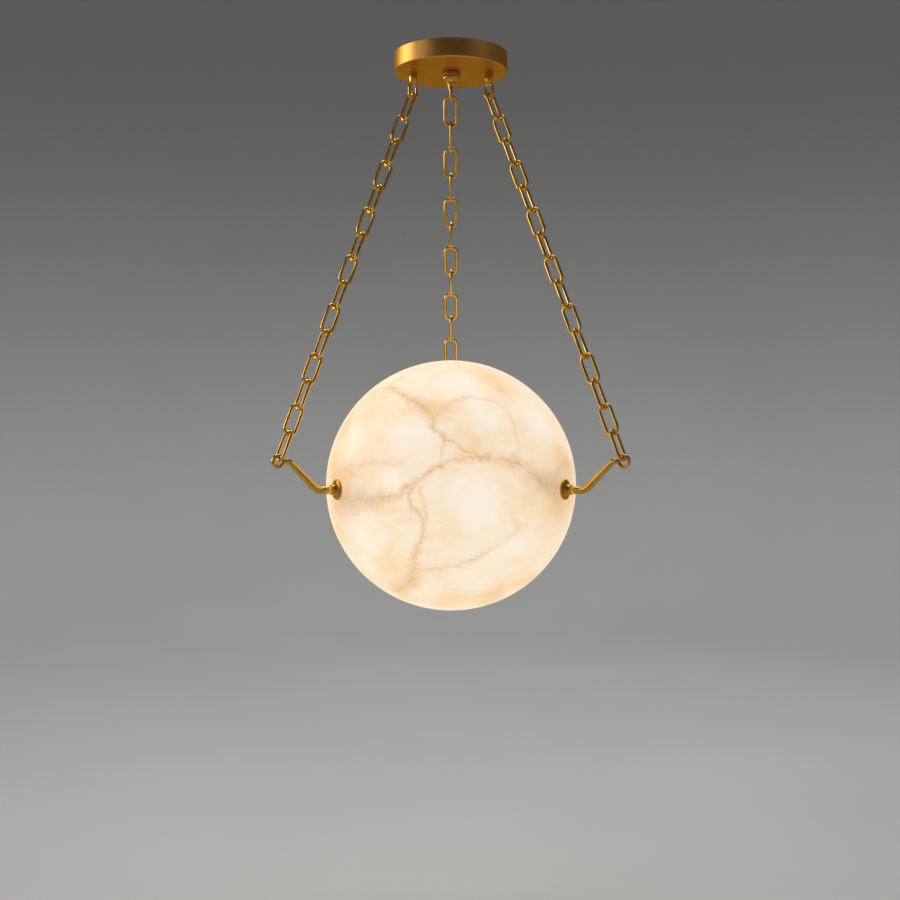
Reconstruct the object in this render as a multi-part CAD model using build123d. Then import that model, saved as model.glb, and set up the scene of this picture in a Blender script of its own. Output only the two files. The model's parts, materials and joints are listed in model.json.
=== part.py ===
from build123d import *
import math
import os

# An alabaster globe pendant: a brass ceiling canopy, three brass chains and a stone globe with a lamp inside.
# Millimetres. The origin is on the ceiling plane above the globe, +Z is up and the viewer stands at -Y.
# The globe and what it carries are modelled upright round the globe's own centre, then hung from the chains.

# Alabaster globe and its lid
globe_diameter = 300.0
globe_wall = 11.0
lid_diameter = 94.0
lid_gap = 0.4

# Ceiling canopy
canopy_diameter = 136.0
canopy_height = 21.5
canopy_wall = 1.8
canopy_edge_radius = 1.5

# Ceiling bracket with two slots, and the bar inside the canopy that carries the loops
bracket_length = 112.0
bracket_width = 24.0
bracket_thickness = 2.5
bracket_corner = 6.0
slot_spacing = 88.9
slot_length = 12.0
slot_width = 5.0
load_bar_end = 10.2
load_bar_width = 22.0
load_bar_thickness = 3.0

# Threaded tube that joins the bracket to the middle loop, and that carries the lamp holder
nipple_diameter = 10.0
nipple_bore = 6.5
nipple_top_gap = 0.6

# Loops under the canopy: all three stand in one row, with an oval eye each
side_loop_inset = 22.2
swing_axis_drop = 49.0
side_eye_rise = 3.0
eye_wire = 3.6
eye_radius = 5.4
eye_straight = 6.0
eye_gap = 0.6
collar_diameter = 23.0
collar_height = 4.0
collar_edge_radius = 0.8
cup_diameter = 21.0
cup_neck_diameter = 14.0
cup_height = 8.0
cup_wall_height = 2.4
cup_curve_radius = 11.2
cup_bore_depth = 5.2
cup_thread_depth = 4.8
bead_diameter = 12.0
bead_height = 2.0
bead_edge_radius = 0.8
stem_diameter = 9.2
stem_length = 9.5
ferrule_diameter = 10.2
ferrule_height = 5.6
ferrule_tip_diameter = 5.4
ferrule_curve_radius = 13.0

# Chain links: each is an oval of round wire
link_count = 15
link_length = 39.5
link_width = 18.5
link_wire = 3.8
link_gap = 0.35

# S-shaped arms that carry the globe, each with a ring at its tip
arm_azimuths = {"left": 210.0, "right": 330.0, "back": 90.0}
arm_rise = 34.2
arm_slope = 45.0
arm_root_diameter = 9.4
arm_tip_diameter = 6.8
arm_root_level = 10.1
arm_tip_level = 0.2
arm_root_bend = 17.0
arm_tip_bend = 11.0
arm_neck = 1.6
ring_radius = 6.2
ring_wire = 4.4
ring_gap = 0.5

# Flared rosettes on the stone, and the screw joint through its wall
rosette_diameter = 23.6
rosette_length = 8.4
rosette_rim = 2.0
rosette_rim_width = 2.8
rosette_edge_radius = 1.2
rosette_neck_length = 0.8
rosette_neck_diameter = 11.2
rosette_flare_radius = 7.0
gasket_thickness = 0.8
gasket_diameter = 22.0
stud_diameter = 6.0
stud_hole_diameter = 7.0
stud_end = 2.0
pad_diameter = 22.0
pad_thickness = 2.0
washer_diameter = 14.0
washer_thickness = 1.2
small_nut_width = 10.0
small_nut_height = 5.0
large_nut_width = 16.0
large_nut_height = 4.0
nut_corner_share = 1.1

# Lamp frame inside the globe: a hub on three straps
strap_width = 16.0
strap_thickness = 2.5
strap_bend = 7.0
strap_tab_up = 9.0
strap_tab_down = 13.0
hub_diameter = 80.0
hub_thickness = 3.0
hub_drop = 60.0
foot_inner = 24.0
foot_outer = 44.0
hub_screw_circle = 66.0
screw_diameter = 4.0
screw_head_diameter = 7.6
screw_head_height = 2.6
screw_head_round = 1.5

# Lamp holder and lamp
holder_diameter = 40.0
holder_floor = 14.0
holder_bore_depth = 10.5
holder_thread_depth = 9.8
holder_edge_radius = 4.0
cap_diameter = 26.4
cap_length = 27.0
cap_tip_diameter = 11.0
cap_tip_height = 4.0
cap_tip_step = 1.0
cap_clearance = 0.6
cap_showing = 1.5
bulb_diameter = 60.0
bulb_length = 76.0
bulb_neck_angle = 37.0
bulb_neck_radius = 42.0

# Cord inlet in the globe's back, wire connector and ground screw in the canopy
inlet_elevation = 15.0
inlet_flange_diameter = 15.0
inlet_flange_height = 2.6
inlet_edge_radius = 1.3
inlet_tube_diameter = 9.0
inlet_bore = 6.5
inlet_nut_width = 14.0
connector_length = 18.0
connector_width = 16.0
connector_height = 10.5
connector_gap = 2.8
connector_ways = 3
connector_edge_radius = 1.0
wire_hole_share = 0.6
wire_hole_rise = 4.2
ground_screw_offset = 24.0

# Clearances
bolt_clearance = 0.2
seat_gap = 0.05
run_gap = 0.3
cut_over = 1.0

# Derived sizes
globe_radius = globe_diameter / 2
inner_radius = globe_radius - globe_wall
link_span = link_length - link_wire
link_pitch = link_span - link_wire - link_gap
eye_seat = (eye_wire + link_wire) / 2 + eye_gap
ring_seat = (ring_wire + link_wire) / 2 + ring_gap
chain_run = (eye_radius - eye_seat) + link_span + (link_count - 1) * link_pitch + (ring_radius - ring_seat)
canopy_floor = canopy_wall - canopy_height
side_loop_offset = canopy_diameter / 2 - side_loop_inset
bar_top = canopy_floor + load_bar_thickness
load_bar_length = 2 * (side_loop_offset + load_bar_end)
connector_offset = side_loop_offset - washer_diameter / 2 - connector_gap - connector_length / 2
loop_top = -canopy_height - collar_height
gasket_radius = globe_radius + gasket_thickness
rosette_end = gasket_radius + rosette_length
half_slope = math.tan(math.radians(arm_slope / 2))
arm_foot = rosette_end + arm_root_level + arm_root_bend * half_slope
arm_shoulder = arm_foot + arm_rise / math.tan(math.radians(arm_slope))
arm_tip = arm_shoulder + arm_tip_bend * half_slope + arm_tip_level
arm_reach = arm_tip + arm_neck + ring_radius
pad_face = math.sqrt(inner_radius**2 - (pad_diameter / 2) ** 2) - pad_thickness
tab_face = pad_face - strap_thickness
washer_face = tab_face - washer_thickness
nut_face = washer_face - small_nut_height
holder_base = -hub_drop
cap_bottom = holder_base + holder_floor + run_gap
holder_top = cap_bottom + cap_length - cap_showing
lid_angle = math.degrees(math.asin(lid_diameter / 2 / globe_radius))
lid_clearance_angle = math.degrees(lid_gap / globe_radius)
UP = Vector(0, 0, 1)
STANDING = (Align.CENTER, Align.CENTER, Align.MIN)


# Where the globe hangs: three equal chains from loops in a row leave it leaning a little to the front


def eye_center(side):
    """Centre of the rounded end of the canopy eye that holds one chain."""
    across = {"left": -side_loop_offset, "right": side_loop_offset, "back": 0.0}[side]
    rise = 0.0 if side == "back" else side_eye_rise
    return Vector(across, 0, rise - swing_axis_drop)


def ring_in_globe(side):
    """Centre of an arm's ring, from the globe's centre, with the globe upright."""
    return Vector(arm_reach, 0, arm_rise).rotate(Axis.Z, arm_azimuths[side])


def hanging_height(side, tilt):
    """Height of the globe's centre at which the chain on this side is just taut."""
    eye = eye_center(side)
    ring = ring_in_globe(side).rotate(Axis.X, tilt)
    across = math.hypot(ring.X - eye.X, ring.Y - eye.Y)
    return eye.Z - math.sqrt(chain_run**2 - across**2) - ring.Z


def hanging_tilt():
    """Lean of the globe about X, in degrees, at which the front and the back chains are both taut."""
    low, high = -20.0, 20.0
    for _ in range(60):
        middle = (low + high) / 2
        if hanging_height("left", middle) < hanging_height("back", middle):
            low = middle
        else:
            high = middle
    return (low + high) / 2


globe_tilt = hanging_tilt()
globe_height = hanging_height("back", globe_tilt)
hang = Pos(0, 0, globe_height) * Rot(globe_tilt, 0, 0)


def ring_center(side):
    """Centre of an arm's ring once the globe hangs."""
    return ring_in_globe(side).rotate(Axis.X, globe_tilt) + Vector(0, 0, globe_height)


# Shapes that are used more than once


def rod(diameter, low, high):
    """Upright round bar between two heights."""
    return Pos(0, 0, low) * Cylinder(diameter / 2, high - low, align=STANDING)


def tube(outer, bore, low, high):
    return rod(outer, low, high) - rod(bore, low - cut_over, high + cut_over)


def hex_nut(width, bore, low, high):
    outline = RegularPolygon(width / 2, 6, major_radius=False)
    nut = Pos(0, 0, low) * extrude(outline, high - low)
    return (nut & rod(width * nut_corner_share, low, high)) - rod(bore, low - cut_over, high + cut_over)


def radial(shape, side, elevation=0.0):
    """Turn an upright shape so that its axis points out of the globe towards one arm."""
    return Rot(0, 0, arm_azimuths[side]) * Rot(0, 90 - elevation, 0) * shape


def pan_screw(seat, point):
    """Upright pan-head screw whose head starts at the seat; the shank ends at the point."""
    away = math.copysign(1, seat - point)
    crown = seat + away * screw_head_height
    head = rod(screw_head_diameter, min(seat, crown), max(seat, crown))
    rim = head.edges().filter_by(GeomType.CIRCLE).sort_by(Axis.Z)[-1 if away > 0 else 0]
    head = fillet(rim, screw_head_round)
    return head + rod(screw_diameter, min(seat, point), max(seat, point))


def wire_oval(straight, radius, wire):
    """Closed oval of round wire. The centre of its lower half ring is at the origin."""
    ends = [Pos(0, 0, straight) * half_ring(radius, wire), Rot(180, 0, 0) * half_ring(radius, wire)]
    legs = [Pos(x, 0, 0) * rod(wire, 0, straight) for x in (-radius, radius)]
    return ends[0] + legs[0] + legs[1] + ends[1]


def half_ring(radius, wire):
    """Upper half of a ring of wire, in the XZ plane."""
    section = Plane.XY * Pos(radius, 0, 0) * Circle(wire / 2)
    return revolve(section, Axis.Y, -180)


# Canopy and what it holds


def canopy_dish():
    outer = rod(canopy_diameter, -canopy_height, 0)
    outer = fillet(outer.edges().sort_by(Axis.Z)[0], canopy_edge_radius)
    dish = outer - rod(canopy_diameter - 2 * canopy_wall, canopy_floor, cut_over)
    dish -= rod(nipple_diameter + bolt_clearance, -canopy_height - cut_over, 0)
    for x in (-side_loop_offset, side_loop_offset):
        dish -= Pos(x, 0, 0) * rod(stud_diameter + bolt_clearance, -canopy_height - cut_over, 0)
    return dish


def ceiling_bracket():
    outline = RectangleRounded(bracket_width, bracket_length, bracket_corner)
    for y in (-slot_spacing / 2, slot_spacing / 2):
        outline -= Pos(0, y) * Rot(0, 0, 90) * SlotOverall(slot_length, slot_width)
    outline -= Circle((nipple_diameter + bolt_clearance) / 2)
    outline -= Pos(0, ground_screw_offset) * Circle((screw_diameter + bolt_clearance) / 2)
    return Pos(0, 0, -bracket_thickness) * extrude(outline, bracket_thickness)


def load_bar():
    outline = SlotOverall(load_bar_length, load_bar_width)
    outline -= Circle((nipple_diameter + bolt_clearance) / 2)
    for x in (-side_loop_offset, side_loop_offset):
        outline -= Pos(x, 0) * Circle((stud_diameter + bolt_clearance) / 2)
    return Pos(0, 0, canopy_floor) * extrude(outline, load_bar_thickness)


def canopy_nipple():
    return tube(nipple_diameter, nipple_bore, loop_top - cup_thread_depth, -nipple_top_gap)


def nipple_locknut():
    seat = -bracket_thickness
    return hex_nut(large_nut_width, nipple_diameter + bolt_clearance, seat - large_nut_height, seat)


def screw_collar():
    collar = tube(collar_diameter, nipple_diameter + bolt_clearance, loop_top, -canopy_height)
    rims = collar.edges().filter_by(GeomType.CIRCLE).filter_by(lambda e: e.radius > collar_diameter / 2 - seat_gap)
    return fillet(rims, collar_edge_radius)


def eye(side):
    """Oval eye under the canopy, in the upright plane that its chain hangs in."""
    toward = ring_center(side) - eye_center(side)
    turn = math.degrees(math.atan2(toward.Y, toward.X))
    place = eye_center(side)
    return Pos(place.X, place.Y, place.Z) * Rot(0, 0, turn) * wire_oval(eye_straight, eye_radius, eye_wire)


def middle_loop():
    """Turned cup, bead and tapered stem, ending in the eye of the back chain."""
    cup_bottom = loop_top - cup_height
    bead_bottom = cup_bottom - bead_height
    rim, neck = cup_diameter / 2, cup_neck_diameter / 2
    shoulder = (rim, loop_top - cup_wall_height)
    cup = Curve() + [
        Polyline((0, loop_top), (rim, loop_top), shoulder),
        RadiusArc(shoulder, (neck, cup_bottom), cup_curve_radius),
        Polyline((neck, cup_bottom), (0, cup_bottom), (0, loop_top)),
    ]
    body = revolve(Plane.XZ * make_face(cup), Axis.Z)
    bead = rod(bead_diameter, bead_bottom, cup_bottom)
    bead = fillet(bead.edges().filter_by(GeomType.CIRCLE), bead_edge_radius)
    stem = Cone(eye_wire / 2, stem_diameter / 2, stem_length, align=STANDING)
    stem = Pos(0, 0, bead_bottom - stem_length) * stem
    bore = rod(nipple_diameter + bolt_clearance, loop_top - cup_bore_depth, loop_top + cut_over)
    return body + bead + stem + eye("back") - bore


def side_loop(side):
    """Screw eye: a stud through the canopy, a round ferrule and the eye of a front chain."""
    center = eye_center(side)
    eye_top = center.Z + eye_straight + eye_radius
    tip = ferrule_tip_diameter / 2
    waist = -canopy_height - ferrule_height
    profile = Curve() + [
        Polyline((0, -canopy_height), (ferrule_diameter / 2, -canopy_height), (ferrule_diameter / 2, waist)),
        RadiusArc((ferrule_diameter / 2, waist), (tip, eye_top), ferrule_curve_radius),
        Polyline((tip, eye_top), (0, eye_top), (0, -canopy_height)),
    ]
    ferrule = revolve(Plane.XZ * make_face(profile), Axis.Z)
    stud = rod(stud_diameter, -canopy_height, bar_top + washer_thickness + small_nut_height + stud_end)
    return Pos(center.X, 0, 0) * (ferrule + stud) + eye(side)


def side_loop_washers():
    washer = tube(washer_diameter, stud_diameter + bolt_clearance, bar_top, bar_top + washer_thickness)
    return [Pos(x, 0, 0) * washer for x in (-side_loop_offset, side_loop_offset)]


def side_loop_nuts():
    low = bar_top + washer_thickness
    nut = hex_nut(small_nut_width, stud_diameter + bolt_clearance, low, low + small_nut_height)
    return [Pos(x, 0, 0) * nut for x in (-side_loop_offset, side_loop_offset)]


def wire_connector():
    """Screw connector on the load bar: a row of wire holes with a screw well over each."""
    block = Box(connector_length, connector_width, connector_height, align=STANDING)
    block = fillet(block.edges().filter_by(Axis.Z), connector_edge_radius)
    step = connector_width / connector_ways
    for way in range(connector_ways):
        y = (way - (connector_ways - 1) / 2) * step
        wire_hole = Cylinder(step * wire_hole_share / 2, connector_length + cut_over)
        block -= Pos(0, y, wire_hole_rise) * Rot(0, 90, 0) * wire_hole
        block -= Pos(0, y, 0) * rod(step * wire_hole_share, wire_hole_rise, connector_height + cut_over)
    return Pos(connector_offset, 0, bar_top) * block


def ground_screw():
    return Pos(0, ground_screw_offset, 0) * pan_screw(-bracket_thickness, -nipple_top_gap)


# Chains


def chain_link(side, index):
    """One link of a chain, counted from the canopy. Each is turned a quarter turn from the one before it."""
    down = (ring_center(side) - eye_center(side)).normalized()
    sideways = UP.cross(down).normalized()
    flat = sideways if index % 2 == 0 else down.cross(sideways)
    start = eye_center(side) + down * (eye_radius - eye_seat + index * link_pitch)
    end_radius = (link_width - link_wire) / 2
    link = Pos(0, 0, end_radius) * wire_oval(link_span - 2 * end_radius, end_radius, link_wire)
    return Plane(start, x_dir=flat, z_dir=down) * link


def chain(side):
    return [chain_link(side, index) for index in range(1, link_count)]


# Globe, lid and arms, upright round the globe's centre


def stone_shell():
    return Sphere(globe_radius) - Sphere(inner_radius)


def lid_cone(angle):
    height = globe_diameter
    top = height * math.tan(math.radians(angle))
    return Cone(0, top, height, align=STANDING)


def globe_shell():
    shell = stone_shell() - lid_cone(lid_angle)
    for side in arm_azimuths:
        shell -= radial(rod(stud_hole_diameter, inner_radius / 2, globe_diameter), side)
    hole = rod(inlet_tube_diameter + bolt_clearance, inner_radius / 2, globe_diameter)
    return shell - radial(hole, "back", inlet_elevation)


def globe_lid():
    return stone_shell() & lid_cone(lid_angle - lid_clearance_angle)


def arm_path():
    """Middle line of an arm, level out of the rosette, up a slope and level again into the ring."""
    corners = [(rosette_end, 0, 0), (arm_foot, 0, 0), (arm_shoulder, 0, arm_rise), (arm_tip, 0, arm_rise)]
    return FilletPolyline(*corners, radius=[arm_root_bend, arm_tip_bend])


def arm(side):
    """Bent rod that thins up its slope, with a ring at the tip and a threaded stud at the root."""
    root_run, root_arc, slope, tip_arc, tip_run = arm_path().edges()
    root, tip = arm_root_diameter / 2, arm_tip_diameter / 2
    thick = Wire([root_run, root_arc])
    thin = Wire([tip_arc, tip_run])
    body = sweep(Plane(thick @ 0, z_dir=thick % 0) * Circle(root), thick)
    body += sweep(Plane(thin @ 0, z_dir=thin % 0) * Circle(tip), thin)
    body += Plane(slope @ 0, z_dir=slope % 0) * Cone(root, tip, slope.length, align=STANDING)
    body += Plane(tip_run @ 1, z_dir=tip_run % 1) * Cone(tip, ring_wire / 2, arm_neck, align=STANDING)
    ring = Pos(arm_reach, 0, arm_rise) * Rot(90, 0, 0) * Torus(ring_radius, ring_wire / 2)
    stud = Rot(0, 90, 0) * rod(stud_diameter, nut_face - stud_end, rosette_end)
    return Rot(0, 0, arm_azimuths[side]) * (body + ring + stud)


def rosette(side):
    """Trumpet-shaped flange with a round rim, whose base is hollowed to the globe's curve."""
    rim, neck = rosette_diameter / 2, rosette_neck_diameter / 2
    base = gasket_radius - rosette_rim
    step = gasket_radius + rosette_rim
    flare = rim - rosette_rim_width
    throat = rosette_end - rosette_neck_length
    profile = Curve() + [
        Polyline((0, base), (rim, base), (rim, step), (flare, step)),
        RadiusArc((flare, step), (neck, throat), rosette_flare_radius),
        Polyline((neck, throat), (neck, rosette_end), (0, rosette_end), (0, base)),
    ]
    body = revolve(Plane.XZ * make_face(profile), Axis.Z)
    rims = body.edges().filter_by(GeomType.CIRCLE).filter_by(lambda e: e.radius > flare + seat_gap)
    body = fillet(rims.sort_by(Axis.Z)[-1], rosette_edge_radius)
    body -= rod(stud_diameter + bolt_clearance, base - cut_over, rosette_end + cut_over)
    return radial(body, side) - Sphere(gasket_radius + seat_gap)


def rosette_gaskets():
    ring = tube(gasket_diameter, stud_diameter + bolt_clearance, inner_radius, rosette_end)
    skin = Sphere(gasket_radius) - Sphere(globe_radius + seat_gap)
    return [radial(ring, side) & skin for side in arm_azimuths]


def inner_pads():
    ring = tube(pad_diameter, stud_diameter + bolt_clearance, pad_face, globe_radius)
    core = Sphere(inner_radius - seat_gap)
    return [radial(ring, side) & core for side in arm_azimuths]


def stud_washers():
    washer = tube(washer_diameter, stud_diameter + bolt_clearance, washer_face, tab_face)
    return [radial(washer, side) for side in arm_azimuths]


def stud_nuts():
    nut = hex_nut(small_nut_width, stud_diameter + bolt_clearance, nut_face, washer_face)
    return [radial(nut, side) for side in arm_azimuths]


# Lamp frame, holder and lamp


def frame_strap(side):
    """Strap from an arm's stud down to the hub, bent from one strip."""
    tab = (tab_face + pad_face) / 2
    foot = holder_base + strap_thickness / 2
    path = FilletPolyline(
        (tab, 0, strap_tab_up), (tab, 0, -strap_tab_down), (foot_outer, 0, foot), (foot_inner, 0, foot),
        radius=strap_bend,
    )
    section = Plane(path @ 0, x_dir=(0, 1, 0), z_dir=path % 0) * Rectangle(strap_width, strap_thickness)
    strap = sweep(section, path)
    strap -= Rot(0, 90, 0) * rod(stud_diameter + bolt_clearance, tab_face - cut_over, pad_face + cut_over)
    foot_top = holder_base + strap_thickness
    hole = rod(screw_diameter + bolt_clearance, holder_base - cut_over, foot_top + cut_over)
    strap -= Pos(hub_screw_circle / 2, 0, 0) * hole
    return Rot(0, 0, arm_azimuths[side]) * strap


def lamp_hub():
    outline = Circle(hub_diameter / 2) - Circle((nipple_diameter + bolt_clearance) / 2)
    for azimuth in arm_azimuths.values():
        hole = Pos(hub_screw_circle / 2, 0) * Circle((screw_diameter + bolt_clearance) / 2)
        outline -= Rot(0, 0, azimuth) * hole
    return Pos(0, 0, holder_base - hub_thickness) * extrude(outline, hub_thickness)


def hub_screws():
    screw = pan_screw(holder_base + strap_thickness, holder_base - hub_thickness)
    return [Rot(0, 0, azimuth) * Pos(hub_screw_circle / 2, 0, 0) * screw for azimuth in arm_azimuths.values()]


def holder_nipple():
    foot = holder_base - hub_thickness - large_nut_height - stud_end
    return tube(nipple_diameter, nipple_bore, foot, holder_base + holder_thread_depth)


def holder_nut():
    seat = holder_base - hub_thickness
    return hex_nut(large_nut_width, nipple_diameter + bolt_clearance, seat - large_nut_height, seat)


def lamp_holder():
    body = rod(holder_diameter, holder_base, holder_top)
    body = fillet(body.edges().filter_by(GeomType.CIRCLE).sort_by(Axis.Z)[0], holder_edge_radius)
    body -= rod(cap_diameter + 2 * cap_clearance, holder_base + holder_floor, holder_top + cut_over)
    bore_end = holder_base + holder_bore_depth
    return body - rod(nipple_diameter + bolt_clearance, holder_base - cut_over, bore_end)


def bulb_cap():
    """Screw cap of the lamp, with a raised contact at its tip."""
    shoulder = cap_diameter / 2 - cap_tip_step
    tip = Pos(0, 0, cap_bottom) * Cone(cap_tip_diameter / 2, shoulder, cap_tip_height, align=STANDING)
    return tip + rod(cap_diameter, cap_bottom + cap_tip_height, cap_bottom + cap_length)


def bulb_glass():
    """Pear-shaped opal bulb: a round crown over a hollow-curved neck."""
    foot = cap_bottom + cap_length
    crown = foot + bulb_length - bulb_diameter / 2
    blend = math.radians(bulb_neck_angle)
    radius = bulb_diameter / 2
    neck = (cap_diameter / 2, foot)
    join = (radius * math.cos(blend), crown - radius * math.sin(blend))
    profile = Curve() + [
        Line((0, foot), neck),
        RadiusArc(neck, join, -bulb_neck_radius),
        ThreePointArc(join, (radius, crown), (0, crown + radius)),
        Line((0, crown + radius), (0, foot)),
    ]
    return revolve(Plane.XZ * make_face(profile), Axis.Z)


def cord_inlet():
    """Flanged bush through the globe's back for the supply cord."""
    flange = rod(inlet_flange_diameter, inner_radius, globe_radius + inlet_flange_height)
    flange = fillet(flange.edges().filter_by(GeomType.CIRCLE).sort_by(Axis.Z)[-1], inlet_edge_radius)
    flange -= Sphere(globe_radius + seat_gap)
    inside = inner_radius - pad_thickness - large_nut_height - stud_end
    bush = flange + rod(inlet_tube_diameter, inside, globe_radius + inlet_edge_radius)
    return radial(bush - rod(inlet_bore, inside - cut_over, globe_diameter), "back", inlet_elevation)


def inlet_nut():
    corner = inlet_nut_width * nut_corner_share / 2
    seat = math.sqrt(inner_radius**2 - corner**2) - seat_gap
    nut = hex_nut(inlet_nut_width, inlet_tube_diameter + bolt_clearance, seat - large_nut_height, seat)
    return radial(nut, "back", inlet_elevation)


# Every node of the object, and the file that holds it


def fixed_nodes():
    return {
        "canopy_dish": canopy_dish(),
        "ceiling_bracket": ceiling_bracket(),
        "load_bar": load_bar(),
        "canopy_nipple": canopy_nipple(),
        "nipple_locknut": nipple_locknut(),
        "screw_collar": screw_collar(),
        "middle_loop": middle_loop(),
        "side_loop_left": side_loop("left"),
        "side_loop_right": side_loop("right"),
        "side_loop_washers": side_loop_washers(),
        "side_loop_nuts": side_loop_nuts(),
        "wire_connector": wire_connector(),
        "ground_screw": ground_screw(),
    }


def chain_nodes():
    nodes = {}
    for side in arm_azimuths:
        nodes["top_link_" + side] = chain_link(side, 0)
        nodes["chain_" + side] = chain(side)
    return nodes


def globe_nodes():
    nodes = {
        "globe_shell": globe_shell(),
        "globe_lid": globe_lid(),
        "rosette_gaskets": rosette_gaskets(),
        "inner_pads": inner_pads(),
        "stud_washers": stud_washers(),
        "stud_nuts": stud_nuts(),
        "lamp_hub": lamp_hub(),
        "hub_screws": hub_screws(),
        "holder_nipple": holder_nipple(),
        "holder_nut": holder_nut(),
        "lamp_holder": lamp_holder(),
        "bulb_cap": bulb_cap(),
        "bulb_glass": bulb_glass(),
        "cord_inlet": cord_inlet(),
        "inlet_nut": inlet_nut(),
    }
    for side in arm_azimuths:
        nodes["arm_" + side] = arm(side)
        nodes["rosette_" + side] = rosette(side)
        nodes["frame_strap_" + side] = frame_strap(side)
    return nodes


def write_node(name, solids, place=Location()):
    group = solids if isinstance(solids, list) else [solids]
    shape = Compound(children=[place * solid for solid in group]) if len(group) > 1 else place * group[0]
    export_step(shape, os.path.join("parts", name + ".step"))


os.makedirs("parts", exist_ok=True)
for node, solids in {**fixed_nodes(), **chain_nodes()}.items():
    write_node(node, solids)
for node, solids in globe_nodes().items():
    write_node(node, solids, hang)
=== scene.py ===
import json
import math

import bmesh
import bpy
from mathutils import Matrix, Vector


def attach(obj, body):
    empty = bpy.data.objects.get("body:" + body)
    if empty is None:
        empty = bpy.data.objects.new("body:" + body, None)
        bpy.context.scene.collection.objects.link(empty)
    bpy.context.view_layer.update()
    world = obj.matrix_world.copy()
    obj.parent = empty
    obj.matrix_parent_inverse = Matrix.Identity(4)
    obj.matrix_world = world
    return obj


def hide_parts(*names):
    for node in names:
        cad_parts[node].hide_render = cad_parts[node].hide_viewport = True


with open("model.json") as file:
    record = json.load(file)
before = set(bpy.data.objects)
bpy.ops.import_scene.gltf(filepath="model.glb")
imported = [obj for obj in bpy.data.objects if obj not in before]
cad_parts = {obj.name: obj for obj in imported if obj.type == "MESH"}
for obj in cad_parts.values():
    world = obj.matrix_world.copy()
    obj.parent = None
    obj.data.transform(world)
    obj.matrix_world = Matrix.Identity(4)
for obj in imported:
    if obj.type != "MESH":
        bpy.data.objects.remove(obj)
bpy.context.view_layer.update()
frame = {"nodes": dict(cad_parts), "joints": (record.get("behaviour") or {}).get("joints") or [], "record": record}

# An alabaster globe pendant on three brass chains. Sizes are in millimetres, and MM turns them into metres.
MM = 0.001

# Chain loops under the canopy, and the links that hang from them
side_loop_offset = 45.8
swing_axis_drop = 49.0
side_eye_rise = 3.0
eye_wire = 3.6
eye_radius = 5.4
eye_gap = 0.6
link_count = 15
link_length = 39.5
link_width = 18.5
link_wire = 3.8
link_gap = 0.35
link_seam_width = 0.5
link_seam_depth = 0.86
link_end_margin = 1.0
link_sides = 14
link_steps = 40

# Arms, from the threaded end inside the globe to the ring
arm_azimuths = {"left": 210.0, "right": 330.0, "back": 90.0}
viewer_azimuth = 270.0
stud_end = 125.9
stud_diameter = 6.0
rosette_end = 159.2
arm_rise = 34.2
arm_slope = math.radians(45.0)
arm_root_diameter = 9.4
arm_tip_diameter = 6.8
arm_root_level = 10.1
arm_tip_level = 0.2
arm_root_bend = 17.0
arm_tip_bend = 11.0
arm_neck = 1.6
arm_shoulder_inset = 1.0
arm_shoulder_step = 0.1
arm_bend_steps = 8
arm_sides = 32
arm_voxel = 0.45
ring_radius = 6.2
ring_wire = 4.4
ring_steps = 48
ring_sides = 20

# Globe
globe_radius = 150.0

# Sizes that follow from those above
link_span = link_length - link_wire
link_pitch = link_span - link_wire - link_gap
eye_seat = (eye_wire + link_wire) / 2 + eye_gap
half_slope = math.tan(arm_slope / 2)
arm_foot = rosette_end + arm_root_level + arm_root_bend * half_slope
arm_shoulder = arm_foot + arm_rise / math.tan(arm_slope)
arm_tip = arm_shoulder + arm_tip_bend * half_slope + arm_tip_level
arm_reach = arm_tip + arm_neck + ring_radius

# Where the globe hangs, from the turning axis of its lamp
lamp_turn = next(joint for joint in frame["joints"] if joint["name"] == "lamp_turn")
globe_center = Vector(lamp_turn["pos_m"])
globe_up = Vector(lamp_turn["axis"])
globe_lean = Vector((0, 0, 1)).rotation_difference(globe_up)
globe_place = Matrix.Translation(globe_center) @ globe_lean.to_matrix().to_4x4()


# Modelling helpers


def start():
    """Leave nothing selected, so that the next operator touches only the new piece."""
    bpy.ops.object.select_all(action="DESELECT")


def edit(piece):
    bpy.context.view_layer.objects.active = piece
    piece.select_set(True)
    bpy.ops.object.mode_set(mode="EDIT")
    bpy.ops.mesh.select_mode(type="VERT")


def done():
    bpy.ops.object.mode_set(mode="OBJECT")


def pick(wanted):
    """Select only the vertices of the piece in edit mode that the test wants."""
    bpy.ops.mesh.select_all(action="DESELECT")
    mesh = bpy.context.object.data
    shape = bmesh.from_edit_mesh(mesh)
    for vertex in shape.verts:
        vertex.select_set(wanted(vertex.co))
    shape.select_flush(True)
    bmesh.update_edit_mesh(mesh)


def apply_modifier(piece, kind, **settings):
    start()
    piece.select_set(True)
    bpy.context.view_layer.objects.active = piece
    modifier = piece.modifiers.new(kind.lower(), kind)
    for key, value in settings.items():
        setattr(modifier, key, value)
    bpy.ops.object.modifier_apply(modifier=modifier.name)


def join(name, pieces):
    start()
    for piece in pieces:
        piece.select_set(True)
    bpy.context.view_layer.objects.active = pieces[0]
    bpy.ops.object.join()
    joined = bpy.context.object
    joined.name = name
    return joined


def smooth(piece, angle=math.radians(40)):
    start()
    piece.select_set(True)
    bpy.context.view_layer.objects.active = piece
    bpy.ops.object.shade_smooth_by_angle(angle=angle)


def copy_to(piece, name, place):
    """A copy with its own mesh, with its place in the mesh."""
    made = piece.copy()
    made.data = piece.data.copy()
    made.data.transform(place)
    made.name = name
    bpy.context.scene.collection.objects.link(made)
    return made


def discard(piece):
    start()
    piece.select_set(True)
    bpy.ops.object.delete()


def finish_piece(piece, body, node, look):
    """Give a piece its material, and let it ride on its body in place of its solid."""
    piece.data.materials.clear()
    piece.data.materials.append(look)
    smooth(piece)
    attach(piece, body)
    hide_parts(node)


# Chains


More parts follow.
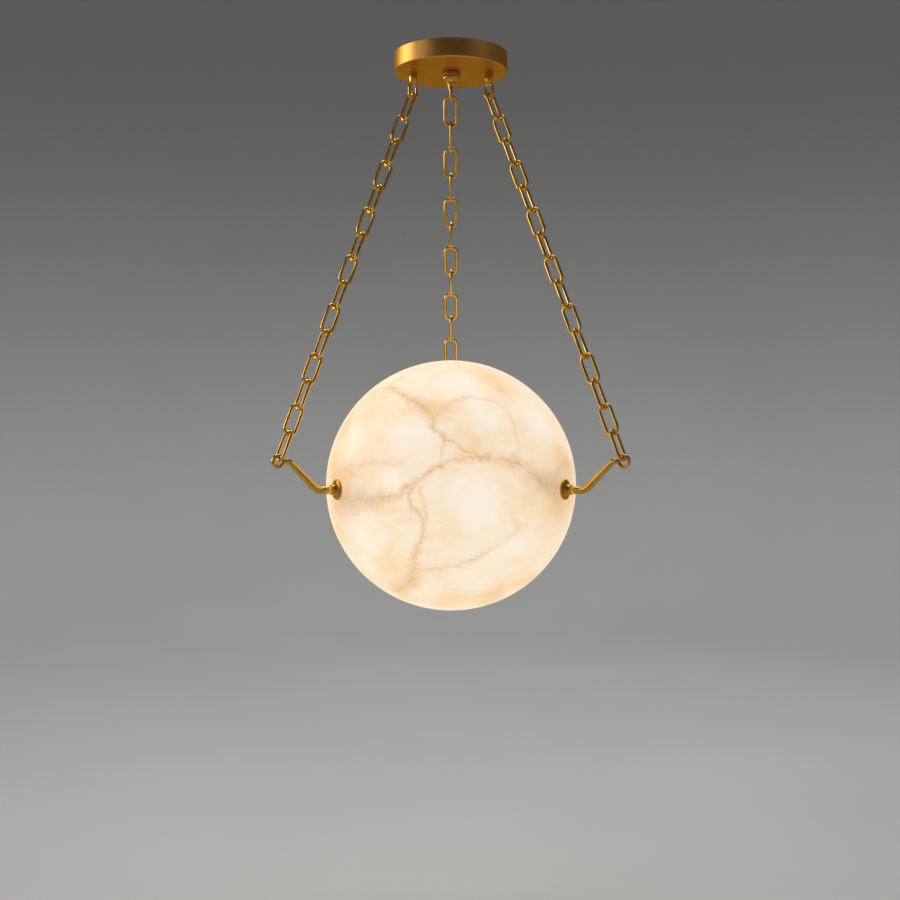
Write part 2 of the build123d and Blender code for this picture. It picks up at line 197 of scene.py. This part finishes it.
def bent_link():
    """One link: a ring of wire pulled out to an oval, with the fine seam where the wire's ends meet."""
    bend = (link_width - link_wire) / 2
    straight = link_span - 2 * bend
    start()
    bpy.ops.mesh.primitive_torus_add(
        major_segments=link_steps, minor_segments=link_sides,
        major_radius=bend * MM, minor_radius=link_wire / 2 * MM,
    )
    link = bpy.context.object
    edit(link)
    bpy.ops.mesh.select_all(action="SELECT")
    bpy.ops.transform.rotate(value=math.pi / link_steps, orient_axis="Z", center_override=(0, 0, 0))
    pick(lambda co: co.y > 0)
    bpy.ops.transform.translate(value=(0, straight * MM, 0))
    half = straight / 2
    pick(lambda co: co.x > 0 and abs(co.y - half * MM) < (half + link_end_margin) * MM)
    bpy.ops.mesh.subdivide(number_cuts=3)
    pick(lambda co: co.x > 0 and link_end_margin * MM < co.y < (straight - link_end_margin) * MM)
    middle = (bend * MM, half * MM, 0)
    bpy.ops.transform.resize(value=(1, 2 * link_seam_width / straight, 1), center_override=middle)
    pick(lambda co: co.x > 0 and abs(co.y - half * MM) < link_seam_width / 4 * MM)
    bpy.ops.transform.resize(value=(link_seam_depth, 1, link_seam_depth), center_override=middle)
    done()
    return link


def eye_center(side):
    """Centre of the rounded end of the canopy eye that holds one chain."""
    across = {"left": -side_loop_offset, "right": side_loop_offset, "back": 0.0}[side]
    rise = 0.0 if side == "back" else side_eye_rise
    return Vector((across, 0, rise - swing_axis_drop)) * MM


def arm_place(side):
    """From an arm's own upright plane, with X outwards, to where it sits on the hung globe."""
    return globe_place @ Matrix.Rotation(math.radians(arm_azimuths[side]), 4, "Z")


def link_place(side, index):
    """Place of one link, counted from the canopy. Each is a quarter turn from the one before it."""
    eye = eye_center(side)
    ring = arm_place(side) @ (Vector((arm_reach, 0, arm_rise)) * MM)
    down = (ring - eye).normalized()
    sideways = Vector((0, 0, 1)).cross(down).normalized()
    flat = sideways if index % 2 == 0 else down.cross(sideways)
    bend = (link_width - link_wire) / 2
    near_end = eye + down * (eye_radius - eye_seat + index * link_pitch + bend) * MM
    return Matrix.Translation(near_end) @ Matrix((flat, down, flat.cross(down))).transposed().to_4x4()


def make_chains(look):
    link = bent_link()
    for side in arm_azimuths:
        top = copy_to(link, "bent_top_link_" + side, link_place(side, 0))
        finish_piece(top, "top_links", "top_link_" + side, look)
        links = [copy_to(link, "link", link_place(side, index)) for index in range(1, link_count)]
        chain = join("bent_links_" + side, links)
        finish_piece(chain, side + "_chain", "chain_" + side, look)
    discard(link)


# Arms


def arm_stations():
    """Middle line, heading and thickness of an arm in its own plane, from the threaded end to the ring."""
    root, tip = arm_root_diameter, arm_tip_diameter
    inset = rosette_end - arm_shoulder_inset
    stations = [
        (stud_end, 0, 0, stud_diameter),
        (inset, 0, 0, stud_diameter),
        (inset + arm_shoulder_step, 0, 0, root),
    ]
    steps = arm_bend_steps
    begin = arm_foot - arm_root_bend * half_slope
    for step in range(steps + 1):
        heading = arm_slope * step / steps
        x = begin + arm_root_bend * math.sin(heading)
        stations.append((x, arm_root_bend * (1 - math.cos(heading)), heading, root))
    end = arm_shoulder + arm_tip_bend * half_slope
    for step in range(steps + 1):
        heading = arm_slope * (1 - step / steps)
        x = end - arm_tip_bend * math.sin(heading)
        stations.append((x, arm_rise - arm_tip_bend * (1 - math.cos(heading)), heading, tip))
    stations.append((arm_reach - ring_radius, arm_rise, 0, ring_wire))
    return stations


def cast_arm():
    """A round bar that is pushed out along its bends, with a ring melted onto its tip."""
    stations = arm_stations()
    x, z, heading, thick = stations[0]
    start()
    bpy.ops.mesh.primitive_circle_add(
        vertices=arm_sides, radius=thick / 2 * MM, fill_type="NGON",
        location=(x * MM, 0, z * MM), rotation=(0, math.pi / 2, 0),
    )
    bpy.ops.object.transform_apply(location=True, rotation=True, scale=True)
    bar = bpy.context.object
    edit(bar)
    bpy.ops.mesh.select_all(action="SELECT")
    for next_x, next_z, next_heading, next_thick in stations[1:]:
        step = ((next_x - x) * MM, 0, (next_z - z) * MM)
        center = (next_x * MM, 0, next_z * MM)
        bpy.ops.mesh.extrude_region_move(TRANSFORM_OT_translate={"value": step})
        if next_heading != heading:
            turn = next_heading - heading
            bpy.ops.transform.rotate(value=turn, orient_axis="Y", center_override=center)
        grow = next_thick / thick
        bpy.ops.transform.resize(value=(grow, grow, grow), center_override=center)
        x, z, heading, thick = next_x, next_z, next_heading, next_thick
    bpy.ops.mesh.select_all(action="SELECT")
    bpy.ops.mesh.normals_make_consistent(inside=False)
    done()
    start()
    bpy.ops.mesh.primitive_torus_add(
        major_segments=ring_steps, minor_segments=ring_sides,
        major_radius=ring_radius * MM, minor_radius=ring_wire / 2 * MM,
        location=(arm_reach * MM, 0, arm_rise * MM), rotation=(math.pi / 2, 0, 0),
    )
    bpy.ops.object.transform_apply(location=True, rotation=True, scale=True)
    arm = join("cast_arm", [bar, bpy.context.object])
    apply_modifier(arm, "REMESH", mode="VOXEL", voxel_size=arm_voxel * MM)
    apply_modifier(arm, "SMOOTH", factor=0.5, iterations=8)
    return arm


def make_arms(look):
    arm = cast_arm()
    for side in arm_azimuths:
        made = copy_to(arm, "cast_arm_" + side, arm_place(side))
        finish_piece(made, "globe", "arm_" + side, look)
    discard(arm)


# Materials

# Usual range of a noise
noise_low = 0.3
noise_high = 0.7


def add(tree, kind, sockets=None, **options):
    """A node, with its sockets set to values or linked to other nodes' outputs."""
    made = tree.nodes.new(kind)
    for key, value in options.items():
        setattr(made, key, value)
    for key, value in (sockets or {}).items():
        if isinstance(value, bpy.types.NodeSocket):
            tree.links.new(value, made.inputs[key])
        else:
            made.inputs[key].default_value = value
    return made


def new_material(name, values):
    """A node material with its even values set on the shader. Gives the material, its tree and its shader."""
    made = bpy.data.materials.new(name)
    made.use_nodes = True
    shader = made.node_tree.nodes["Principled BSDF"]
    for socket, value in values.items():
        shader.inputs[socket].default_value = value
    return made, made.node_tree, shader


def object_place(tree):
    return add(tree, "ShaderNodeTexCoord").outputs["Object"]


def noise(tree, place, scale, detail=4.0, rough=0.55):
    sockets = {"Vector": place, "Scale": scale, "Detail": detail, "Roughness": rough}
    return add(tree, "ShaderNodeTexNoise", sockets).outputs["Fac"]


def ramp(tree, amount, stops):
    """Colours, or greys given as one number, along an amount."""
    made = add(tree, "ShaderNodeValToRGB", {"Fac": amount})
    elements = made.color_ramp.elements
    while len(elements) < len(stops):
        elements.new(0.5)
    for element, (at, colour) in zip(elements, stops):
        element.position = at
        element.color = (*colour, 1) if isinstance(colour, tuple) else (colour, colour, colour, 1)
    return made.outputs["Color"]


def two_tone(tree, amount, tones):
    """Two colours, or two greys, over the usual range of a noise."""
    return ramp(tree, amount, [(noise_low, tones[0]), (noise_high, tones[1])])


def math_node(tree, operation, *values, clamp=False):
    made = add(tree, "ShaderNodeMath", dict(enumerate(values)), operation=operation, use_clamp=clamp)
    return made.outputs["Value"]


def vector_node(tree, operation, *values, output="Vector"):
    return add(tree, "ShaderNodeVectorMath", dict(enumerate(values)), operation=operation).outputs[output]


def spread(tree, value, low, high, to_low, to_high):
    """A value moved smoothly from one range to another."""
    sockets = {"Value": value, "From Min": low, "From Max": high, "To Min": to_low, "To Max": to_high}
    return add(tree, "ShaderNodeMapRange", sockets, interpolation_type="SMOOTHSTEP").outputs["Result"]


def uneven_gloss(tree, shader, amount, rough):
    """Roughness between two values, over the usual range of a noise."""
    tree.links.new(spread(tree, amount, noise_low, noise_high, *rough), shader.inputs["Roughness"])


def mix(tree, amount, first, second, blend="MIX"):
    """Two colours mixed. The colour sockets of the node go by number, because their names repeat."""
    first, second = [(*value, 1) if isinstance(value, tuple) else value for value in (first, second)]
    sockets = {0: amount, 6: first, 7: second}
    return add(tree, "ShaderNodeMix", sockets, data_type="RGBA", blend_type=blend).outputs[2]


def bump(tree, shader, height, strength, depth):
    made = add(tree, "ShaderNodeBump", {"Height": height, "Strength": strength, "Distance": depth * MM})
    tree.links.new(made.outputs["Normal"], shader.inputs["Normal"])


def turned_grain(tree, place):
    """Coordinates whose fine lines run round the canopy's axis, as polishing on a lathe leaves them."""
    lines_per_metre = 2400.0
    drift = 14.0
    parts = add(tree, "ShaderNodeSeparateXYZ", {"Vector": place})
    flat = vector_node(tree, "MULTIPLY", place, (1, 1, 0))
    radius = vector_node(tree, "LENGTH", flat, output="Value")
    drift_out = math_node(tree, "MULTIPLY", parts.outputs["X"], drift)
    drift_up = math_node(tree, "MULTIPLY", parts.outputs["Y"], drift)
    out = math_node(tree, "MULTIPLY_ADD", radius, lines_per_metre, drift_out)
    up = math_node(tree, "MULTIPLY_ADD", parts.outputs["Z"], lines_per_metre, drift_up)
    return add(tree, "ShaderNodeCombineXYZ", {"X": out, "Y": up}).outputs["Vector"]


def hand_grain(tree, place):
    """Coordinates of short, even scratches, as hand polishing leaves on bent and cast brass."""
    return vector_node(tree, "MULTIPLY", place, (1500.0, 1500.0, 420.0))


def satin_brass(name, grain, colours, rough):
    made, tree, shader = new_material(name, {"Metallic": 1.0, "Specular Tint": (0.95, 0.6, 0.2, 1)})
    place = object_place(tree)
    lines = noise(tree, grain(tree, place), 1.0, detail=3.0)
    tone = noise(tree, place, 42.0, detail=5.0)
    colour = two_tone(tree, tone, colours)
    shade = two_tone(tree, lines, (0.86, 1.0))
    tree.links.new(mix(tree, 1.0, colour, shade, blend="MULTIPLY"), shader.inputs["Base Color"])
    worn_tone = math_node(tree, "MULTIPLY", tone, 0.4)
    worn = math_node(tree, "MULTIPLY_ADD", lines, 0.6, worn_tone)
    uneven_gloss(tree, shader, worn, rough)
    bump(tree, shader, lines, 0.12, 0.05)
    return made


# Veins of the stone's front: strength, then points by azimuth, elevation and width in millimetres
front_veins = [
    (0.9, [(-50, 51, 1.6), (-25, 42, 3.0), (-17, 38, 6.0), (-10, 32, 5.0), (-8, 26, 1.6), (-2, 21, 1.2),
           (8, 16, 1.2)]),
    (0.9, [(8, 16, 1.2), (13, 13, 2.0), (23, 13, 4.2), (30, 11, 6.0), (41, 3, 9.0), (58, -1, 8.0)]),
    (0.8, [(13, 13, 1.4), (0, 12, 1.4), (-11, 7, 1.8), (-19, 0, 2.2), (-22, -3, 2.8), (-36, -5, 7.0),
           (-60, -6, 10.0)]),
    (0.8, [(-15, 3, 1.4), (-19, -3, 1.2), (-13, -12, 1.6), (-12, -18, 1.6), (-20, -33, 2.4), (-22, -42, 6.0),
           (-48, -54, 6.0)]),
    (0.5, [(-15, 3, 1.0), (-11, -7, 1.0), (-12, -18, 1.2)]),
    (0.5, [(-21, -38, 1.8), (1, -36, 1.3), (14, -30, 1.5), (19, -27, 1.1)]),
    (0.28, [(19, -27, 1.1), (26, -22, 1.1), (31, -17, 1.0), (27, -11, 1.0)]),
    (0.36, [(-60, 7, 2.0), (-37, 11, 1.5), (-24, 10, 1.2), (-19, 14, 1.0)]),
    (0.34, [(-10, 32, 2.4), (9, 43, 1.4), (28, 40, 1.4), (32, 31, 1.2), (32, 18, 1.8)]),
    (0.38, [(41, 4, 2.0), (60, 9, 1.8), (67, 12, 1.8)]),
    (0.45, [(-67, 21, 1.6), (-73, 38, 1.8), (-50, 51, 1.6), (-41, 59, 1.4)]),
    (0.4, [(-2, 21, 1.0), (-4, 15, 0.9)]),
]

# Soft patches of the stone's front: azimuth, elevation, reach in millimetres, and how much browner they are. Most
# are the stone's own clouding; the browner patches toward the globe's edges and beside the left rosette are
# painted shade
front_patches = [
    (-7, 37, 34, 0.30), (-19, 38, 24, 0.22), (29, 59, 30, 0.22), (40, 49, 28, 0.22), (11, 21, 46, 0.14),
    (-53, 4, 30, 0.34), (59, 12, 30, 0.30), (55, -6, 36, 0.26), (37, -2, 32, 0.20), (36, -57, 38, 0.26),
    (52, -45, 28, 0.18), (-34, -40, 46, 0.22), (-34, -12, 34, 0.12), (-57, 46, 30, 0.14), (-50, 30, 26, 0.16),
    (4, 49, 40, -0.28), (18, 35, 34, -0.26), (-16, 21, 40, -0.20), (-26, 25, 30, -0.14), (-52, 21, 28, -0.16),
    (10, -3, 44, -0.22), (13, -13, 44, -0.24), (-43, -21, 36, -0.24), (29, -26, 40, -0.20),
    (3, 18, 22, -0.14), (47, 29, 38, -0.20), (-25, 5, 26, -0.20), (11, -40, 40, -0.12),
    # Painted shade: these browner patches darken the stone toward the globe's edges and beside the left rosette
    (-70, 26, 40, 0.24), (-70, 9, 34, 0.22), (-70, -24, 40, 0.20), (-45, 43, 30, 0.20), (50, 59, 32, 0.16),
    (65, -46, 36, 0.24), (0, -68, 44, 0.14), (55, -64, 34, 0.16), (-42, -57, 30, 0.20), (69, 10, 26, 0.20),
    (-63, 3, 24, 0.32), (0, -57, 40, 0.12),
]
back_turn = 172
back_veins = [(strength, [(azimuth + back_turn, -rise, width) for azimuth, rise, width in points])
              for strength, points in front_veins[:7]]
back_patches = [(azimuth + back_turn, -rise, reach, amount) for azimuth, rise, reach, amount in front_patches]

# Colours and glow of the lit stone. The grey stain and vein colours and strap_shade are painted shade near the
# rosettes, where the straps hold the light back
stone_tones = [(0.22, (0.985, 0.88, 0.735)), (0.42, (0.975, 0.815, 0.615)), (0.62, (0.965, 0.73, 0.475)),
               (0.86, (0.91, 0.60, 0.32))]
stain_tan = (0.84, 0.56, 0.30)
shaded_stain_grey = (0.64, 0.45, 0.33)
vein_tan = (0.70, 0.46, 0.22)
shaded_vein_grey = (0.55, 0.41, 0.31)
strap_shade = (0.74, 0.44, 0.20)
unlit_stone = (0.12, 0.1, 0.08)
stone_glow = 0.9
rosette_rise = -2

# Widest line of a vein, and the width of the stain round it as a share of the vein and a least value
line_most = 1.7
stain_share = 2.3
stain_least = 3.0


def toward(azimuth, rise):
    """Unit direction from the globe's centre. Azimuth 0 faces the viewer, and 90 is to the right."""
    a, e = math.radians(azimuth), math.radians(rise)
    return Vector((math.sin(a) * math.cos(e), -math.cos(a) * math.cos(e), math.sin(e)))


def new_group(name, inputs, outputs):
    """Empty node group with named sockets. Gives the group, its given values and its results."""
    group = bpy.data.node_groups.new(name, "ShaderNodeTree")
    for in_out, sockets in (("INPUT", inputs), ("OUTPUT", outputs)):
        for socket, kind in sockets.items():
            group.interface.new_socket(socket, in_out=in_out, socket_type="NodeSocket" + kind)
    return group, group.nodes.new("NodeGroupInput").outputs, group.nodes.new("NodeGroupOutput").inputs


def pass_on(group, given, results, trace):
    """Hand the place on with a trace of a result in it, so that a row of groups is worked out one by one."""
    small = (1e-7, 1e-7, 1e-7)
    group.links.new(vector_node(group, "MULTIPLY_ADD", trace, small, given["Place"]), results["Place"])


def vein_group():
    """Node group that adds one run of a vein: a fine line, and a soft stain on both sides of it."""
    ends = {"From": "Vector", "To": "Vector", "From Width": "Float", "To Width": "Float", "Strength": "Float"}
    kept = {"Place": "Vector", "Line": "Float", "Stain": "Float"}
    group, given, results = new_group("vein_run", {**kept, **ends}, kept)
    run = vector_node(group, "SUBTRACT", given["To"], given["From"])
    away = vector_node(group, "SUBTRACT", given["Place"], given["From"])
    along = vector_node(group, "DOT_PRODUCT", away, run, output="Value")
    whole = vector_node(group, "DOT_PRODUCT", run, run, output="Value")
    share = math_node(group, "DIVIDE", along, whole, clamp=True)
    foot = vector_node(group, "NORMALIZE", vector_node(group, "MULTIPLY_ADD", run, share, given["From"]))
    distance = vector_node(group, "DISTANCE", given["Place"], foot, output="Value")
    widening = math_node(group, "SUBTRACT", given["To Width"], given["From Width"])
    width = math_node(group, "MULTIPLY_ADD", widening, share, given["From Width"])
    line_width = math_node(group, "MINIMUM", width, line_most / globe_radius)
    stain_width = math_node(group, "MULTIPLY_ADD", width, stain_share, stain_least / globe_radius)
    line = spread(group, math_node(group, "DIVIDE", distance, line_width), 0.0, 1.0, given["Strength"], 0.0)
    stain = spread(group, math_node(group, "DIVIDE", distance, stain_width), 0.0, 1.0, given["Strength"], 0.0)
    stained = math_node(group, "MAXIMUM", given["Stain"], stain)
    group.links.new(math_node(group, "MAXIMUM", given["Line"], line), results["Line"])
    group.links.new(stained, results["Stain"])
    pass_on(group, given, results, stained)
    return group


def patch_group():
    """Node group that adds one soft patch to the stone's tone."""
    kept = {"Place": "Vector", "Tone": "Float"}
    spot = {"Middle": "Vector", "Reach": "Float", "Amount": "Float"}
    group, given, results = new_group("stone_patch", {**kept, **spot}, kept)
    distance = vector_node(group, "DISTANCE", given["Place"], given["Middle"], output="Value")
    tone = spread(group, math_node(group, "DIVIDE", distance, given["Reach"]), 0.0, 1.0, given["Amount"], 0.0)
    summed = math_node(group, "ADD", given["Tone"], tone)
    group.links.new(summed, results["Tone"])
    pass_on(group, given, results, summed)
    return group


def add_group(tree, group, sockets):
    return add(tree, "ShaderNodeGroup", sockets, node_tree=group).outputs


def wavered(tree, place, scale, amount):
    """Coordinates pushed about by noise."""
    sockets = {"Vector": place, "Scale": scale, "Detail": 3.0}
    colour = add(tree, "ShaderNodeTexNoise", sockets).outputs["Color"]
    push = vector_node(tree, "SUBTRACT", colour, (0.5, 0.5, 0.5))
    return vector_node(tree, "MULTIPLY_ADD", push, (amount, amount, amount), place)


def stone_veins(tree, place):
    """Strength of the stone's fine lines and of the stains round them."""
    group = vein_group()
    row = {"Place": place, "Line": 0.0, "Stain": 0.0}
    for strength, points in front_veins + back_veins:
        for (a0, e0, w0), (a1, e1, w1) in zip(points, points[1:]):
            ends = {"From": toward(a0, e0), "To": toward(a1, e1), "Strength": strength}
            widths = {"From Width": w0 / globe_radius, "To Width": w1 / globe_radius}
            made = add_group(tree, group, {**row, **ends, **widths})
            row = {key: made[key] for key in row}
    return row["Line"], row["Stain"]


def stone_patches(tree, place, tone):
    group = patch_group()
    row = {"Place": place, "Tone": tone}
    for azimuth, rise, reach, amount in front_patches + back_patches:
        spot = {"Middle": toward(azimuth, rise), "Reach": reach / globe_radius, "Amount": amount}
        made = add_group(tree, group, {**row, **spot})
        row = {key: made[key] for key in row}
    return row["Tone"]


def rosette_distance(tree, place):
    """Distance to the nearest rosette, where the straps and pads inside hold the light back."""
    nearest = 2.0
    for azimuth in arm_azimuths.values():
        rosette = toward(azimuth - viewer_azimuth, rosette_rise)
        away = vector_node(tree, "DISTANCE", place, rosette, output="Value")
        nearest = math_node(tree, "MINIMUM", nearest, away)
    return nearest


def alabaster():
    """Stone lit from inside: cream with tan clouds, and with grey and tan veins that follow chosen routes. Near
    the rosettes and toward the edges the stone is darkened with painted shade.
    """
    values = {"Roughness": 0.55, "IOR": 1.52, "Specular IOR Level": 0.12, "Emission Strength": stone_glow}
    made, tree, shader = new_material("alabaster", values)
    place = vector_node(tree, "SUBTRACT", object_place(tree), globe_center)
    direction = vector_node(tree, "NORMALIZE", place)
    bent = wavered(tree, wavered(tree, wavered(tree, direction, 4.2, 0.07), 12.0, 0.08), 30.0, 0.07)
    line, stain = stone_veins(tree, vector_node(tree, "NORMALIZE", bent))
    layered = vector_node(tree, "MULTIPLY", wavered(tree, direction, 1.6, 0.5), (1.0, 1.0, 2.0))
    clouds = noise(tree, layered, 2.4, detail=6.0, rough=0.52)
    wisps = noise(tree, wavered(tree, layered, 2.5, 0.4), 6.5, detail=4.0)
    drifted = math_node(tree, "MULTIPLY_ADD", clouds, 0.5, math_node(tree, "MULTIPLY", wisps, 0.44))
    tone = stone_patches(tree, wavered(tree, direction, 3.4, 0.34), drifted)
    base = ramp(tree, tone, stone_tones)
    rosettes = rosette_distance(tree, direction)
    # Painted shade: near the rosettes, where the straps hold the light back, the veins and their stains turn
    # greyer and darker
    strap_shade_grey_share = spread(tree, rosettes, 0.1, 0.65, 0.9, 0.0)
    uneven = spread(tree, noise(tree, direction, 9.0), 0.3, 0.65, 0.5, 1.0)
    stained_share = math_node(tree, "MULTIPLY", stain, uneven)
    stained = mix(tree, stained_share, base, mix(tree, strap_shade_grey_share, stain_tan, shaded_stain_grey))
    broken = spread(tree, noise(tree, direction, 17.0), 0.3, 0.6, 0.25, 0.9)
    line_colour = mix(tree, strap_shade_grey_share, vein_tan, shaded_vein_grey)
    veined = mix(tree, math_node(tree, "MULTIPLY", line, broken), stained, line_colour)
    shadow = spread(tree, rosettes, 0.05, 0.46, 0.5, 0.0)
    lit = mix(tree, shadow, veined, strap_shade)
    tree.links.new(lit, shader.inputs["Emission Color"])
    tree.links.new(mix(tree, 0.8, lit, unlit_stone), shader.inputs["Base Color"])
    bump(tree, shader, noise(tree, direction, 60.0), 0.03, 0.1)
    return made


def plated_steel(name, colours, rough=(0.32, 0.5)):
    made, tree, shader = new_material(name, {"Metallic": 1.0})
    place = object_place(tree)
    spangle = add(tree, "ShaderNodeTexVoronoi", {"Vector": place, "Scale": 260.0}).outputs["Distance"]
    tone = noise(tree, place, 90.0)
    worn_tone = math_node(tree, "MULTIPLY", tone, 0.65)
    both = math_node(tree, "MULTIPLY_ADD", spangle, 0.35, worn_tone)
    tree.links.new(two_tone(tree, both, colours), shader.inputs["Base Color"])
    uneven_gloss(tree, shader, tone, rough)
    bump(tree, shader, noise(tree, place, 1400.0), 0.08, 0.05)
    return made


def plain_finish(name, values, colours, scale, rough, grain, strength=0.08):
    """A moulded, glazed or rubber finish: a slow tone, a fine grain and an uneven gloss."""
    made, tree, shader = new_material(name, values)
    place = object_place(tree)
    tone = noise(tree, place, scale)
    tree.links.new(two_tone(tree, tone, colours), shader.inputs["Base Color"])
    uneven_gloss(tree, shader, tone, rough)
    bump(tree, shader, noise(tree, place, grain), strength, 0.05)
    return made


def opal_glass():
    made, tree, shader = new_material("opal_glass", {"IOR": 1.5, "Emission Strength": 1.6})
    place = vector_node(tree, "SUBTRACT", object_place(tree), globe_center)
    height = add(tree, "ShaderNodeSeparateXYZ", {"Vector": place}).outputs["Z"]
    lit = spread(tree, height, -0.02, 0.03, 0.0, 1.0)
    tree.links.new(mix(tree, lit, (0.75, 0.52, 0.28), (1.0, 0.88, 0.66)), shader.inputs["Emission Color"])
    cloud = noise(tree, place, 50.0)
    glass = two_tone(tree, cloud, [(0.90, 0.86, 0.80), (0.96, 0.94, 0.90)])
    tree.links.new(glass, shader.inputs["Base Color"])
    uneven_gloss(tree, shader, cloud, (0.18, 0.3))
    return made


def dress_solids(looks, special):
    """Give every solid that shows the finish of its slot, or one of its own."""
    for part in frame["record"]["subparts"]:
        node = frame["nodes"][part["node"]]
        look = special.get(part["node"], looks[part["material_slot"]])
        node.data.materials.clear()
        node.data.materials.append(look)


# Stage

# Camera place in metres, with its sensor and lens in millimetres
camera_place = (-0.0012, -1.565, -0.476)
camera_sensor = 36.0
camera_lens = 51.92


def add_camera():
    """Level camera in front of the lamp."""
    bpy.ops.object.camera_add(location=camera_place, rotation=(math.pi / 2, 0, 0))
    camera = bpy.context.object
    camera.data.sensor_width = camera_sensor
    camera.data.lens = camera_lens
    camera.data.clip_start = 0.01
    bpy.context.scene.camera = camera


def add_cove():
    """Pale round floor that curves up into a wall, with painted shade that darkens the wall toward its top."""
    floor, wide, bend, top = -1.05, 3.4, 1.0, 2.6
    rings = [(wide - bend, floor)]
    steps = 12
    for step in range(1, steps + 1):
        angle = math.pi / 2 * step / steps
        rings.append((wide - bend + bend * math.sin(angle), floor + bend * (1 - math.cos(angle))))
    rings.append((wide, top))
    start()
    bpy.ops.mesh.primitive_circle_add(
        vertices=128, radius=rings[0][0], fill_type="NGON", location=(0, 0, floor)
    )
    bpy.ops.object.transform_apply(location=True)
    cove = bpy.context.object
    cove.name = "studio_cove"
    edit(cove)
    bpy.ops.mesh.select_all(action="SELECT")
    bpy.ops.mesh.select_mode(type="EDGE")
    bpy.ops.mesh.region_to_loop()
    for (radius, height), (next_radius, next_height) in zip(rings, rings[1:]):
        bpy.ops.mesh.extrude_edges_move(TRANSFORM_OT_translate={"value": (0, 0, next_height - height)})
        grow = next_radius / radius
        bpy.ops.transform.resize(value=(grow, grow, 1), center_override=(0, 0, next_height))
    done()
    smooth(cove)
    look, tree, shader = new_material("pale_cove", {"Roughness": 0.9})
    place = object_place(tree)
    tone = two_tone(tree, noise(tree, place, 1.5), [(0.70, 0.695, 0.685), (0.74, 0.735, 0.725)])
    height = add(tree, "ShaderNodeSeparateXYZ", {"Vector": place}).outputs["Z"]
    # Painted shade: the wall turns darker with height, as if less light reached its upper part
    rise = spread(tree, height, floor + 0.1, floor + 2.0, 0.0, 1.0)
    tree.links.new(mix(tree, rise, tone, (0.26, 0.255, 0.25)), shader.inputs["Base Color"])
    cove.data.materials.append(look)


def add_softbox(place, target, size, power, fan=180):
    """Flat lamp that faces a target. A small fan, in degrees, keeps its light off the floor."""
    aim = (Vector(target) - Vector(place)).to_track_quat("-Z", "Y").to_euler()
    bpy.ops.object.light_add(type="AREA", location=place, rotation=aim)
    light = bpy.context.object.data
    light.shape = "RECTANGLE"
    light.size, light.size_y = size
    light.energy = power
    light.spread = math.radians(fan)


def add_lights():
    """Key light at the left, weak fill at the right, strip at the left front, and light on the backdrop."""
    middle = (0, 0, -0.35)
    add_softbox((-2.0, 0.4, 0.3), (0, 0, 0), (1.2, 1.6), 5.4, fan=80)
    add_softbox((1.9, -1.0, 0.4), middle, (0.9, 1.2), 0.6)
    add_softbox((-1.9, -1.15, 0.1), middle, (0.5, 1.4), 2.9)
    add_softbox((0, 1.0, 2.2), (0, 0.8, -1), (2.4, 1.6), 44)
    world = bpy.data.worlds.new("studio_air")
    world.use_nodes = True
    world.node_tree.nodes["Background"].inputs["Color"].default_value = (0.9, 0.95, 1.0, 1)
    world.node_tree.nodes["Background"].inputs["Strength"].default_value = 0.15
    bpy.context.scene.world = world
    bpy.context.scene.view_settings.view_transform = "Standard"


# Darker and lighter tone of each finish
turned_tones = [(0.65, 0.315, 0.07), (0.76, 0.40, 0.105)]
bent_tones = [(0.72, 0.40, 0.08), (0.88, 0.55, 0.15)]
cast_tones = [(0.64, 0.32, 0.05), (0.78, 0.43, 0.09)]
zinc_tones = [(0.46, 0.47, 0.48), (0.66, 0.66, 0.65)]
green_tones = [(0.08, 0.26, 0.12), (0.16, 0.40, 0.20)]
nickel_tones = [(0.58, 0.56, 0.52), (0.74, 0.72, 0.67)]
rubber_tones = [(0.62, 0.58, 0.50), (0.76, 0.73, 0.66)]
plastic_tones = [(0.78, 0.76, 0.70), (0.86, 0.85, 0.80)]
ceramic_tones = [(0.80, 0.78, 0.73), (0.88, 0.87, 0.84)]

turned_brass = satin_brass("turned_brass", turned_grain, turned_tones, (0.36, 0.46))
bent_brass = satin_brass("bent_brass", hand_grain, bent_tones, (0.10, 0.18))
cast_brass = satin_brass("cast_brass", hand_grain, cast_tones, (0.26, 0.36))
stone = alabaster()
looks = {
    "satin_brass": bent_brass,
    "alabaster": stone,
    "zinc_steel": plated_steel("zinc_steel", zinc_tones),
    "ground_green": plated_steel("ground_green", green_tones),
    "nickel_cap": plated_steel("nickel_cap", nickel_tones, rough=(0.18, 0.3)),
    "clear_rubber": plain_finish(
        "clear_rubber", {"Transmission Weight": 0.25}, rubber_tones, 120.0, (0.45, 0.65), 900.0
    ),
    "connector_plastic": plain_finish(
        "connector_plastic", {"IOR": 1.49}, plastic_tones, 140.0, (0.38, 0.52), 1800.0
    ),
    "white_ceramic": plain_finish(
        "white_ceramic", {"Coat Weight": 0.6, "Coat Roughness": 0.06},
        ceramic_tones, 60.0, (0.2, 0.35), 300.0, strength=0.04,
    ),
    "opal_glass": opal_glass(),
}
special = {"canopy_dish": turned_brass, "screw_collar": turned_brass}
special.update({"rosette_" + side: cast_brass for side in arm_azimuths})
dress_solids(looks, special)
make_chains(bent_brass)
make_arms(bent_brass)
add_camera()
add_cove()
add_lights()
